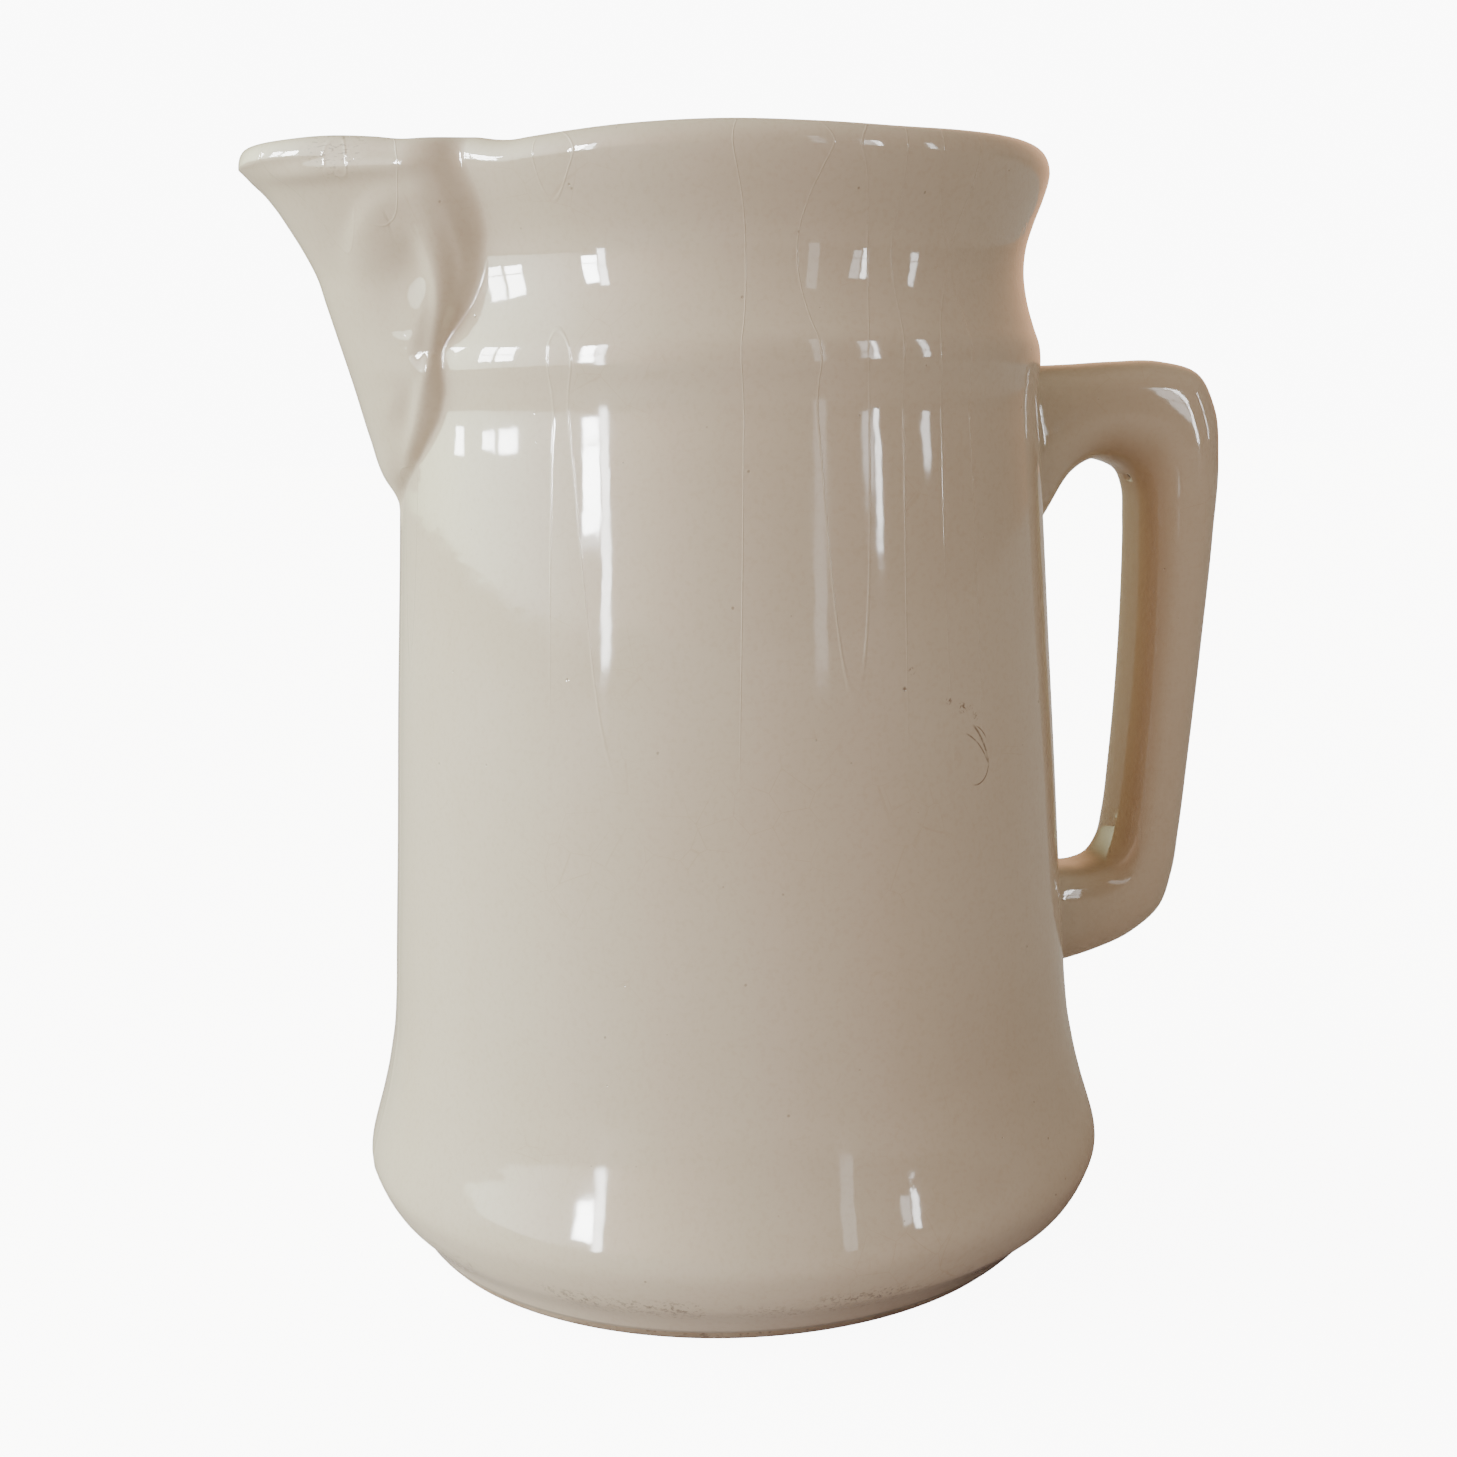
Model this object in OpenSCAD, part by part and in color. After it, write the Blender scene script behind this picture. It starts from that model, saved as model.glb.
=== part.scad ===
// Large cream-glazed water jug: a turned body with a moulded foot, a beaded neck and a
// rolled rim, a wide pouring spout with a leaf scroll on each side, and a loop handle.
// Frame: origin on the body's axis at the resting plane, +Z up, handle towards +X,
// spout towards -X. All lengths are in millimetres.

/* [Foot] */
// Outer radius of the bare ring that the jug stands on
tread_r = 74.6; // [72:0.2:77]
// Radius of the worn ridge low on the foot
ridge_r = 84.4; // [82:0.2:86]
// Height of the worn ridge
ridge_z = 10.8; // [9:0.2:12]
// Largest radius of the foot
foot_r = 88.7; // [87:0.2:91]
// Height of the foot's largest radius
foot_z = 20.5; // [18:0.5:24]
// Width of the bare standing ring
tread_w = 8; // [5:0.5:10]
// Height of the bare standing ring, which is also the depth of the recess under the floor
tread_h = 3; // [2:0.5:4]

/* [Body] */
// Height of the rim; the lip of the spout stands a little higher
height = 250; // [248:1:256]
// Radius of the cone just above the foot
cone_low_r = 82.2; // [81:0.2:84]
// Height at which the foot has blended into the cone
cone_low_z = 51; // [48:1:55]
// Radius of the cone just below the bead
cone_top_r = 73.8; // [73:0.2:74.4]
// Height of the shallow groove below the bead
cone_top_z = 196; // [194:0.5:197]
// Radius of the bead round the neck
bead_r = 74.6; // [74.5:0.1:75.5]
// Height of the bead's crest
bead_z = 204.5; // [203:0.5:206]
// Smallest radius of the neck
neck_r = 70.6; // [69:0.2:72]
// Height of the neck's smallest radius
neck_z = 225; // [223:1:227]
// Largest radius of the rolled rim
rim_r = 76.4; // [75:0.2:78]
// Thickness of the wall
wall = 6; // [4.5:0.5:7]
// Thickness of the floor
floor_t = 7; // [5:0.5:9]

/* [Spout] */
// Reach of the lip from the body's axis
spout_reach = 107; // [103:0.5:110]
// Half of the angle that the spout takes up at the rim
spout_half_angle = 33; // [30:0.5:35]
// Height at which the spout's keel leaves the body
spout_z = 176; // [172:1:180]
// Thickness of the spout's wall
spout_wall = 5.5; // [4.5:0.5:6.5]
// How far the lip of the spout rises above the rim
lip_rise = 1.6; // [0:0.2:2]

/* [Scrolls] */
// Half width of the raised rib
rib_r = 2.4; // [2:0.1:3]
// Half width of the scroll's eye
eye_w = 5.5; // [4:0.5:7]
// Height that the eye stands proud of the spout
scroll_rise = 2.5; // [1.5:0.5:3.5]

/* [Handle] */
// Largest reach of the handle from the body's axis
handle_reach = 129.4; // [126:0.2:132]
// Height of the handle's top face
handle_top = 204.6; // [202:0.2:206]
// Half width of the grip
handle_half_w = 11; // [9.5:0.5:12]
// Width of the slip fillet round each end of the handle
slip_w = 3; // [2:0.5:4]

/* [Hidden] */
$fn = 96;
cream = [0.86, 0.82, 0.74];
cream_shade = [0.80, 0.75, 0.66];
bare_clay = [0.72, 0.62, 0.50];

// ---- Curves ----

// A point of the Catmull-Rom curve between b and c
function blend(a, b, c, d, t) =
    0.5 * (2 * b + (c - a) * t + (2 * a - 5 * b + 4 * c - d) * t * t
           + (3 * b - a - 3 * c + d) * t * t * t);

// A smooth curve through all the stations, with the given number of steps between two
function smooth(stations, steps) =
    let (last = len(stations) - 1)
    [for (i = [0 : last - 1], k = [0 : steps - 1])
        blend(stations[max(i - 1, 0)], stations[i], stations[i + 1],
              stations[min(i + 2, last)], k / steps),
     stations[last]];

// A corner of a superellipse: 1 along the first axis at 0 degrees
function rounded(c, power) = sign(c) * pow(abs(c), 2 / power);

// The triangles between two rings, each given by its first index, with count points each
function band(first, second, count) =
    [for (i = [0 : count - 1], half = [0, 1])
        let (j = (i + 1) % count)
        half == 0 ? [first + i, first + j, second + i] : [first + j, second + j, second + i]];

// A solid through a stack of rings, with a flat or slightly bent face on each end
module loft(rings) {
    n = len(rings[0]);
    last = len(rings) - 1;
    polyhedron(
        points = [for (ring = rings, p = ring) p],
        faces = concat(
            [for (k = [0 : last - 1], f = band(k * n, (k + 1) * n, n)) f],
            [[for (i = [n - 1 : -1 : 0]) i]],
            [[for (i = [0 : n - 1]) last * n + i]]),
        convexity = 6);
}

// A closed hoop through a loop of sections
module hoop(sections) {
    n = len(sections[0]);
    count = len(sections);
    polyhedron(
        points = [for (section = sections, p = section) p],
        faces = [for (k = [0 : count - 1], f = band(k * n, (k + 1) % count * n, n)) f],
        convexity = 6);
}

// ---- Body ----

rim_z = height - 6.5;
rim_top_r = rim_r - 3;
floor_r = tread_r - tread_w + 2;

// How much the cone narrows for each millimetre of height
cone_slope = (cone_low_r - cone_top_r) / (cone_top_z - cone_low_z);

// The outside, from the standing ring up: under the foot, the foot, the bead, neck and rim
outer_line = concat(
    smooth([[tread_r, 0], [tread_r + 3.2, 5], [ridge_r, ridge_z]], 3),
    smooth([[ridge_r + 0.1, ridge_z + 0.3], [foot_r - 1.2, (ridge_z + foot_z) / 2], [foot_r, foot_z],
            [foot_r - 2.6, foot_z + 12], [cone_low_r + 1.4, cone_low_z - 9],
            [cone_low_r, cone_low_z], [cone_low_r - 9 * cone_slope, cone_low_z + 9]], 4),
    smooth([[cone_top_r + 14 * cone_slope, cone_top_z - 14], [cone_top_r + 6 * cone_slope, cone_top_z - 6],
            [cone_top_r, cone_top_z], [bead_r, bead_z], [bead_r - 1.9, bead_z + 7],
            [neck_r + 0.6, neck_z - 6], [neck_r, neck_z], [neck_r + 2.6, neck_z + 10],
            [rim_r, rim_z], [rim_r - 0.7, height - 2.2], [rim_top_r, height]], 4));

// The inside follows the outside one wall further in, and rounds into the floor
inner_line = smooth([
    [rim_top_r, height], [rim_r - wall, height - 2.6], [rim_r - wall - 1.2, rim_z - 3],
    [neck_r - wall + 0.3, neck_z], [bead_r - wall - 1, bead_z], [cone_top_r - wall, cone_top_z - 10],
    [(cone_low_r + cone_top_r) / 2 - wall, 120], [cone_low_r - wall, cone_low_z],
    [cone_low_r - wall + 1.2, 26], [cone_low_r - wall - 2.6, 15],
    [floor_r + 1, tread_h + floor_t]], 4);

// The part of the body's wall between two heights
module wall_between(low, high) {
    intersection() {
        rotate_extrude()
            polygon(concat(outer_line, [for (k = [1 : len(inner_line) - 1]) inner_line[k]],
                           [[floor_r, tread_h + floor_t], [floor_r, 0]]));
        translate([0, 0, low]) cylinder(r = foot_r + 10, h = high - low);
    }
}

// Radius of the body's outside at a height
outer_table = [for (p = outer_line) [p[1], p[0]]];
function body_r(z) = lookup(z, outer_table);

// The point of the body's outside that faces +X, at a height and a distance to the side
function on_body(y, z) = [sqrt(pow(body_r(z), 2) - y * y), y, z];

// ---- Spout ----

// Reach of the keel at each height
keel_line = smooth([
    [spout_z, cone_top_r + 1.4], [spout_z + 5, cone_top_r + 4.5], [190, spout_reach - 25.9],
    [202, spout_reach - 22.8], [213, spout_reach - 19.5], [224, spout_reach - 16.4],
    [234, spout_reach - 11.6], [241, spout_reach - 7.2], [244.5, spout_reach - 4],
    [247.5, spout_reach - 0.8], [height, spout_reach]], 3);

// Half of the angle between the spout's two edges at each height
edge_line = smooth([
    [spout_z, 1.6], [183, spout_half_angle - 23.5], [190, spout_half_angle - 16],
    [199, spout_half_angle - 10.2], [207, spout_half_angle - 10.2],
    [214, spout_half_angle - 7], [224, spout_half_angle - 2.6], [234, spout_half_angle],
    [244, spout_half_angle - 0.8], [height, spout_half_angle - 2]], 4);

// Angle between the edge and the inside of the spout's wall
edge_inset = [[spout_z, 0.5], [spout_z + 12, 1], [spout_z + 24, 4.4], [height - 4, 4.4], [height, 2.6]];

// Thickness of the wall measured level at the keel, as a multiple of its true thickness
keel_inset = [[spout_z, 1.1], [200, 1.1], [224, 1.2], [240, 1.5], [246, 1.3], [height, 0.6]];

// How far the channel has opened: it starts one wall above the keel's foot
opening_share = [[spout_z + 11, 0], [spout_z + 14, 0.3], [spout_z + 18, 0.7], [spout_z + 24, 1]];

// In plan a short wall runs out from the body, as a share of the spout's reach, and then the
// side runs towards a point past the lip, at a multiple of the side's own reach
wall_share = [[spout_z, 0.1], [190, 0.2], [205, 0.3], [222, 0.3], [235, 0.27], [height, 0.18]];
point_off = [[spout_z, 1.9], [205, 1.7], [222, 1.5], [235, 1.6], [height, 1.82]];
// Place across the spout at which the side ends and the short wall starts
wall_end = 0.98;

// Share of the spout's reach at each place u across it: 1 on the keel, 0 at the edge
function plan_share(z, u) =
    let (out = lookup(z, wall_share), off = lookup(z, point_off), v = u / wall_end,
         tip = max(1 - v * off / (2 * (off - 1)), 0))
    u > wall_end ? out * (1 - u) / (1 - wall_end)
                 : out + (1 - out) * (off * (1 - v) - (off - 1) * tip * tip);

// The lip rises between the spout's edges, over the topmost levels
lip_share = [[height - 10, 0], [height, 1]];
function raised(z, t) = z + lip_rise * lookup(z, lip_share) * (1 - pow(abs(sin(t)), 3));

spout_levels = 24;
spout_steps = 24;
function spout_level(k) = spout_z + (height - spout_z) * k / spout_levels;

// A point of the spout's outside: t runs from -90 to 90 degrees, from edge to edge
function spout_point(z, t) =
    let (a = lookup(z, edge_line), start = body_r(z) * cos(a))
    [-start - (lookup(z, keel_line) - start) * plan_share(z, abs(sin(t))),
     body_r(z) * sin(a) * sin(t), raised(z, t)];

// Half width of the spout's inside where it meets the body
function inside_half(z) = body_r(z) * sin(lookup(z, edge_line) - lookup(z, edge_inset));

// Half width of the opening in the body's wall
function opening_half(z) = inside_half(z) * sqrt(lookup(z, opening_share));

// Reach of the channel at a height
function channel_reach(z) =
    body_r(z) + (lookup(z, keel_line) - spout_wall * lookup(z, keel_inset) - body_r(z))
                * lookup(z, opening_share);

// A point of the spout's inside: on the body beside the opening, and bowed out across it
function inside_point(z, t) =
    let (y = inside_half(z) * sin(t), w = max(opening_half(z), 0.01),
         start = sqrt(pow(body_r(z), 2) - w * w),
         bow = abs(y) < w ? plan_share(z, abs(y) / w) : 0)
    [-max(sqrt(pow(body_r(z), 2) - y * y), start + (channel_reach(z) - start) * bow), y, raised(z, t)];

module spout_shell() {
    n = spout_steps;
    ring = 2 * (n + 1);
    top = spout_levels * ring;
    polyhedron(
        points = [for (k = [0 : spout_levels])
            let (z = spout_level(k))
            each concat([for (i = [0 : n]) spout_point(z, -90 + 180 * i / n)],
                        [for (i = [n : -1 : 0]) inside_point(z, -90 + 180 * i / n)])],
        faces = concat(
            [for (k = [0 : spout_levels - 1], f = band(k * ring, (k + 1) * ring, ring)) f],
            [for (i = [0 : n - 1]) each [[i, ring - 1 - i, i + 1], [i + 1, ring - 1 - i, ring - 2 - i]]],
            [for (i = [0 : n - 1]) each [[top + i, top + i + 1, top + ring - 1 - i],
                                         [top + i + 1, top + ring - 2 - i, top + ring - 1 - i]]]),
        convexity = 8);
}

// The opening in the neck's wall behind the spout, in steps that widen towards the rim
opening_steps = [[spout_z + 24, 20], [spout_z + 30, 23.5], [spout_z + 39, 28], [spout_z + 52, 32.5]];

module spout_opening() {
    for (step = opening_steps)
        translate([-spout_reach, -step[1], step[0]])
            cube([spout_reach - 40, 2 * step[1], height]);
}

// ---- Scrolls ----

// The scroll's lowest and highest ring, and how many steps there are between them
scroll_low = 182;
scroll_high = 244;
scroll_rings = 22;

// The scroll's middle line, as a place across the spout at each height, and its half width
scroll_line = [[scroll_low, -60], [190, -62], [200, -63], [210, -62], [219, -58], [226, -50],
               [233, -40], [scroll_high, -38]];
scroll_half = smooth([[scroll_low, 0.6], [190, rib_r], [214, rib_r], [222, rib_r + 0.8],
                      [234, eye_w], [240, eye_w - 1.2], [scroll_high, 1]], 2);

// Outward direction of the spout's side
function spout_out(z, t) =
    let (n = cross(spout_point(z, t + 1) - spout_point(z, t - 1),
                   spout_point(z + 1, t) - spout_point(z - 1, t)),
         outward = n * [-1, 0, 0] + n * [0, sign(t), 0] > 0 ? 1 : -1)
    outward * n / norm(n);

module scroll() {
    steps = 8;
    loft([for (k = [scroll_rings : -1 : 0])
        let (z = scroll_low + (scroll_high - scroll_low) * k / scroll_rings,
             half = lookup(z, scroll_half), t = lookup(z, scroll_line),
             per_mm = 2 / norm(spout_point(z, t + 1) - spout_point(z, t - 1)))
        concat(
            [for (i = [0 : steps])
                let (u = cos(180 * i / steps), at = t + u * half * per_mm)
                spout_point(z, at) + scroll_rise * sin(180 * i / steps) * half / eye_w * spout_out(z, at)],
            [for (i = [steps - 1 : -1 : 1])
                spout_point(z, t + cos(180 * i / steps) * half * per_mm)])]);
}

// ---- Handle ----

// The handle's outer and inner edge in its own plane, in pairs from the top joint round
// the grip to the lower joint, with the half width there
handle_stations = smooth([
    [75, handle_top - 0.6, 75, 156, handle_half_w + 2.6],
    [80, handle_top - 0.4, 80.2, 166.5, handle_half_w + 1.2],
    [90, handle_top - 0.1, 87.1, 177, handle_half_w + 0.4],
    [101, handle_top + 0.4, 94, 181, handle_half_w],
    [113.5, handle_top + 0.3, 100.6, 180.3, handle_half_w],
    [handle_reach - 5.8, 201.9, 105.3, 177.6, handle_half_w],
    [handle_reach - 1.4, 194, 107.3, 173, handle_half_w],
    [handle_reach, 181.5, 107.8, 165, handle_half_w],
    [handle_reach - 1.2, 163, 107.8, 152, handle_half_w],
    [handle_reach - 4, 135, 106.8, 126, handle_half_w],
    [handle_reach - 7.1, 107, 104.9, 103, handle_half_w],
    [handle_reach - 9.6, 86, 103.3, 90, handle_half_w],
    [handle_reach - 11.3, 75, 101.8, 84, handle_half_w],
    [handle_reach - 14.8, 65.4, 98.6, 80, handle_half_w],
    [106.4, 59.2, 94, 78.6, handle_half_w],
    [95.5, 55.4, 88, 78.8, handle_half_w + 0.4],
    [86.4, 53.6, 84, 79.6, handle_half_w + 1.2],
    [81.8, 53, 80.2, 81.5, handle_half_w + 2.4]], 2);

handle_steps = 20;
handle_power = 3.2;

// One ring of the handle's surface, across the sweep
function handle_ring(s) =
    let (outer = [s[0], 0, s[1]], inner = [s[2], 0, s[3]],
         middle = (outer + inner) / 2, half = (outer - inner) / 2)
    [for (i = [0 : handle_steps - 1])
        let (a = 360 * (i + 0.5) / handle_steps)
        middle + half * rounded(cos(a), handle_power)
        + [0, s[4] * rounded(sin(a), handle_power), 0]];

// A ring laid on the body's outside, drawn in towards its middle or let out by a length
function laid(ring, share = 1, out = 0) =
    let (middle = [for (p = ring) 1] * ring / len(ring))
    [for (p = ring)
        let (d = [p[1] - middle[1], p[2] - middle[2]], q = d * share + out * d / norm(d))
        on_body(middle[1] + q[0], middle[2] + q[1])];

function reversed(ring) = [for (i = [len(ring) - 1 : -1 : 0]) ring[i]];

handle_last = len(handle_stations) - 1;
handle_start = handle_ring(handle_stations[0]);
handle_end = handle_ring(handle_stations[handle_last]);
cap_shares = [0.1, 0.4, 0.7];

module handle_sweep() {
    loft(concat(
        [for (share = cap_shares) laid(handle_start, share)],
        [laid(handle_start)],
        [for (k = [1 : handle_last - 1]) handle_ring(handle_stations[k])],
        [laid(handle_end)],
        [for (k = [2 : -1 : 0]) laid(handle_end, cap_shares[k])]));
}

// The fillet of slip round a joint: between the joint's edge, the handle's next ring and
// the body a little further out
module slip_fillet(root, next) {
    edge = laid(root);
    reach = laid(root, 1, slip_w);
    hoop([for (i = [0 : handle_steps - 1])
        [edge[i], next[i], edge[i] + 0.35 * (next[i] + reach[i] - 2 * edge[i]), reach[i]]]);
}

// ---- Pieces ----

module foot_flare() {
    color(cream) wall_between(tread_h, cone_low_z);
}

module body() {
    color(cream) wall_between(cone_low_z, cone_top_z);
}

module neck() {
    color(cream)
        difference() {
            wall_between(cone_top_z, height + 1);
            spout_opening();
        }
}

module floor_disc() {
    color(cream_shade)
        translate([0, 0, tread_h]) cylinder(r = floor_r, h = floor_t);
}

module foot_ring() {
    color(bare_clay)
        intersection() {
            rotate_extrude()
                polygon(concat(outer_line, [[tread_r - tread_w, height], [tread_r - tread_w, 0]]));
            cylinder(r = foot_r, h = tread_h);
        }
}

module spout() {
    color(cream) spout_shell();
}

module spout_scroll_left() {
    color(cream_shade) mirror([0, 1, 0]) scroll();
}

module spout_scroll_right() {
    color(cream_shade) scroll();
}

module handle() {
    color(cream) handle_sweep();
}

module handle_slip_top() {
    color(cream_shade) slip_fillet(handle_start, handle_ring(handle_stations[1]));
}

module handle_slip_bottom() {
    color(cream_shade)
        slip_fillet(reversed(handle_end), reversed(handle_ring(handle_stations[handle_last - 1])));
}

foot_flare();
body();
neck();
floor_disc();  // floor
foot_ring();
spout();
spout_scroll_left();
spout_scroll_right();
handle();
handle_slip_top();
handle_slip_bottom();
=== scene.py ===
"""A large cream-glazed water jug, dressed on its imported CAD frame.

The glazed body, spout and relief are one fired skin, so they are one mesh: each height and
direction has one distance from the axis. The handle is swept and flares into that skin.
Lengths in the shape functions are millimetres, and grid_mesh turns them into metres. Lengths in
the materials, the camera and the lights are metres.
"""
import math

import bmesh
import bpy
import numpy as np
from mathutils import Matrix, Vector


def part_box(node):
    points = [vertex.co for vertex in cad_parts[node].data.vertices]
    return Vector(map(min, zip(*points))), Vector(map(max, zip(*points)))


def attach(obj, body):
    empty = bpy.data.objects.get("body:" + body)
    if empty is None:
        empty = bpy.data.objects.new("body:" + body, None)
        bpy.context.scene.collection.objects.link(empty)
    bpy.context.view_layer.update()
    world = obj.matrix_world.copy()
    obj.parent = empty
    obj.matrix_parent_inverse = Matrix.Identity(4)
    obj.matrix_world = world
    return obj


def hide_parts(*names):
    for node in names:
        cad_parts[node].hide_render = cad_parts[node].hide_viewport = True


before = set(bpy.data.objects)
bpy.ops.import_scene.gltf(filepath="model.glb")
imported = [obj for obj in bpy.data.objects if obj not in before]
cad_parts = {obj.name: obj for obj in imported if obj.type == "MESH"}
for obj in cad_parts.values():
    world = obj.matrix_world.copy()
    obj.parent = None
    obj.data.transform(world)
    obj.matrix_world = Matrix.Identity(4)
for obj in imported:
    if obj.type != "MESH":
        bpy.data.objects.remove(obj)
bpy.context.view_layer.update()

MM = 0.001
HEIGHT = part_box("neck")[1].z / MM
HANDLE_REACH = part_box("handle")[1].x / MM
SPOUT_REACH = -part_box("spout")[0].x / MM
FOOT_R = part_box("foot_flare")[1].y / MM
TREAD_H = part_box("foot_ring")[1].z / MM
FLOOR_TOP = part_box("floor")[1].z / MM
WALL = 6.0
# The glaze ends just under the top of the bare ring
GLAZE_END_Z = TREAD_H - 0.4


# ---- Curves ----

def curve(stations):
    """A smooth curve through (position, value) stations: a cubic between each two of them."""
    x, y = np.array(stations, float).T
    step = np.diff(x)
    slope = np.diff(y) / step
    tangent = np.concatenate([[slope[0]], (slope[1:] * step[:-1] + slope[:-1] * step[1:])
                              / (step[1:] + step[:-1]), [slope[-1]]])

    def at(q):
        q = np.clip(np.asarray(q, float), x[0], x[-1])
        i = np.clip(np.searchsorted(x, q) - 1, 0, len(x) - 2)
        h = x[i + 1] - x[i]
        t = (q - x[i]) / h
        return ((2 * t**3 - 3 * t**2 + 1) * y[i] + (t**3 - 2 * t**2 + t) * h * tangent[i]
                + (3 * t**2 - 2 * t**3) * y[i + 1] + (t**3 - t**2) * h * tangent[i + 1])
    return at


def smooth_max(a, b, radius):
    """The larger of a and b, with a fillet of about this radius where they cross."""
    gap = np.maximum(radius - np.abs(a - b), 0)
    return np.maximum(a, b) + gap * gap / (4 * radius)


def ramp(x, low, high):
    """0 at low and 1 at high, eased in between; low may be the larger of the two."""
    t = np.clip((np.asarray(x, float) - low) / (high - low), 0, 1)
    return t * t * (3 - 2 * t)


def bump(d, width):
    """A smooth hump: 1 where d is zero, and nearly gone two widths away."""
    return np.exp(-(d / width) ** 2)


# ---- The jug's skin ----

# The worn ridge is where the side turns under the foot
RIDGE_Z, RIDGE_R = 10.8, FOOT_R - 4.3
NECK_R, BEAD_R, GROOVE_R = 70.6, 74.5, 73.8
RIM_R = 76.3
# The standing ring was cut a little off centre, towards the spout
RING_OFFSET = 1.7

body_r = curve([
    (0, 74.7), (3, 76.9), (6, 79.4), (9, 82.5), (RIDGE_Z, RIDGE_R), (13, RIDGE_R + 1.5),
    (16.5, FOOT_R - 1.1), (20, FOOT_R), (22.5, FOOT_R - 0.1), (24.5, FOOT_R - 0.5),
    (27, FOOT_R - 1.2), (30, FOOT_R - 2.1), (33, FOOT_R - 3.0), (36, FOOT_R - 3.8),
    (40, FOOT_R - 4.8), (45, FOOT_R - 5.8),
    (50, FOOT_R - 6.7), (58, FOOT_R - 7.5), (70, FOOT_R - 8.2), (120, FOOT_R - 10.9),
    (170, FOOT_R - 13.6), (186, GROOVE_R + 0.5), (195, GROOVE_R), (199.5, GROOVE_R + 0.2),
    (204.5, BEAD_R), (208, BEAD_R - 0.3), (212, BEAD_R - 1.6), (218, NECK_R + 0.7), (224.5, NECK_R),
    (230, NECK_R + 0.6), (235, NECK_R + 2.2), (240, NECK_R + 4.2), (244.5, RIM_R - 0.1),
    (250, RIM_R + 0.1)])

# How far the hand-finished rim dips, against degrees round from the spout. Over the spout it
# rises, so the dip is less than zero there
rim_dip = curve([
    (0, -1.6), (10, -1.7), (16.5, -1.5), (22, -0.6), (25.5, 0.2), (29, 0.2), (31.5, 0.2),
    (34, 0.4), (38, 1.3), (41, 1.7), (45, 1.5), (51, 1.1), (60, 0.5), (75, 0.1), (90, 0.5),
    (104, 0.8), (115, 0.5), (128, 0.1), (180, 0.1)])

# The spout: its keel's reach and the half angle between its edges
KEEL_Z = 176.0
keel = curve([
    (170, 72.8), (KEEL_Z, 75.2), (181, 78.3), (190, 81.1), (202, 84.3), (213, 87.5),
    (220, 89.5), (225, 90.9), (230, 93.2), (235.5, 96.3), (240.5, 99.5), (243, 101.5),
    (245, 103.6), (246.8, SPOUT_REACH - 1.7), (248.3, SPOUT_REACH - 0.3), (249.6, SPOUT_REACH),
    (251, SPOUT_REACH - 0.3)])
edge_angle = curve([
    (170, 0.3), (KEEL_Z, 1.6), (179, 4.2), (183, 9.6), (189, 16.0), (194, 20.2), (199, 22.6),
    (204, 23.4), (208, 23.2), (212, 25.0), (217, 28.2), (222, 30.2), (228, 31.6), (233, 32.8),
    (238, 33.2), (244, 32.4), (251, 31.0)])
# From the body a short wall runs out, and then the side runs towards a point past the lip:
# the wall's length, and how far off that point is as a multiple of the side's reach
wall_out = curve([(170, 0.3), (190, 2.0), (205, 5.0), (222, 8.5), (235, 9.0), (251, 8.0)])
point_off = curve([(170, 1.9), (205, 1.7), (222, 1.5), (235, 1.6), (251, 1.82)])
WALL_TURN = math.radians(5)
# The most of the spout's reach that the short wall takes, and the round between wall and side
WALL_SHARE, SIDE_ROUND = 0.35, 2.2
# The round where the spout meets the body
SPOUT_ROUND = 2.4
# The least half width and reach that the plan of the spout has
LEAST_HALF, LEAST_REACH = 0.3, 0.2
# The search for the spout's side halves the distance from the axis to FARTHEST so many times
FARTHEST, HALVINGS = 160.0, 30


def spout_r(delta, z, inset=0.0, keel_inset=0.0):
    """Distance from the axis of the spout's plan in direction delta (radians off -X), at z."""
    a = np.radians(edge_angle(z))
    base = body_r(z)
    start = base * np.cos(a) - inset
    half = np.maximum(base * np.sin(a) - inset, LEAST_HALF)
    reach = np.maximum(keel(z) - keel_inset - start, LEAST_REACH)
    out = np.minimum(wall_out(z), WALL_SHARE * reach)
    side_start, side_half = start + out, half - out * math.tan(WALL_TURN)
    turn = np.arctan2(side_half, point_off(z) * (reach - out))
    side_off = np.sin(turn) * side_start + np.cos(turn) * side_half
    rounding = 4 * np.sin(turn) * (point_off(z) - 1) * (reach - out)
    low = np.zeros(np.broadcast(delta, z).shape)
    high = low + FARTHEST
    for _ in range(HALVINGS):
        mid = (low + high) / 2
        x, y = mid * np.cos(delta), mid * np.abs(np.sin(delta))
        wall = math.sin(WALL_TURN) * (x - start) + math.cos(WALL_TURN) * (y - half)
        tip = np.maximum(rounding - 2 * np.cos(turn) * y, 0)**2 / (4 * rounding)
        side = np.sin(turn) * x + np.cos(turn) * y + tip - side_off
        outside = smooth_max(wall, side, SIDE_ROUND) > 0
        high = np.where(outside, mid, high)
        low = np.where(outside, low, mid)
    return np.where(np.cos(delta) > 0, low, 0)


# The waves grow between these heights, so the foot stands true
WAVES_START = (14, 40)


def unevenness(delta, z):
    """The slight waviness of a hand-finished cast body."""
    fade = ramp(z, *WAVES_START)
    return fade * (0.10 * np.sin(2 * delta + z / 47 + 0.6) + 0.07 * np.sin(5 * delta - z / 31)
                   + 0.04 * np.sin(9 * delta + z / 23 + 1.9) + 0.03 * np.sin(z / 9 + 3 * delta))


def skin_r(delta, z):
    """The glazed outside without its relief: its distance from the axis."""
    off_centre = RING_OFFSET * np.cos(delta) * np.clip(1 - np.asarray(z) / RIDGE_Z, 0, 1)
    return smooth_max(body_r(z) + off_centre, spout_r(delta, z), SPOUT_ROUND) + unevenness(delta, z)


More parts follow.
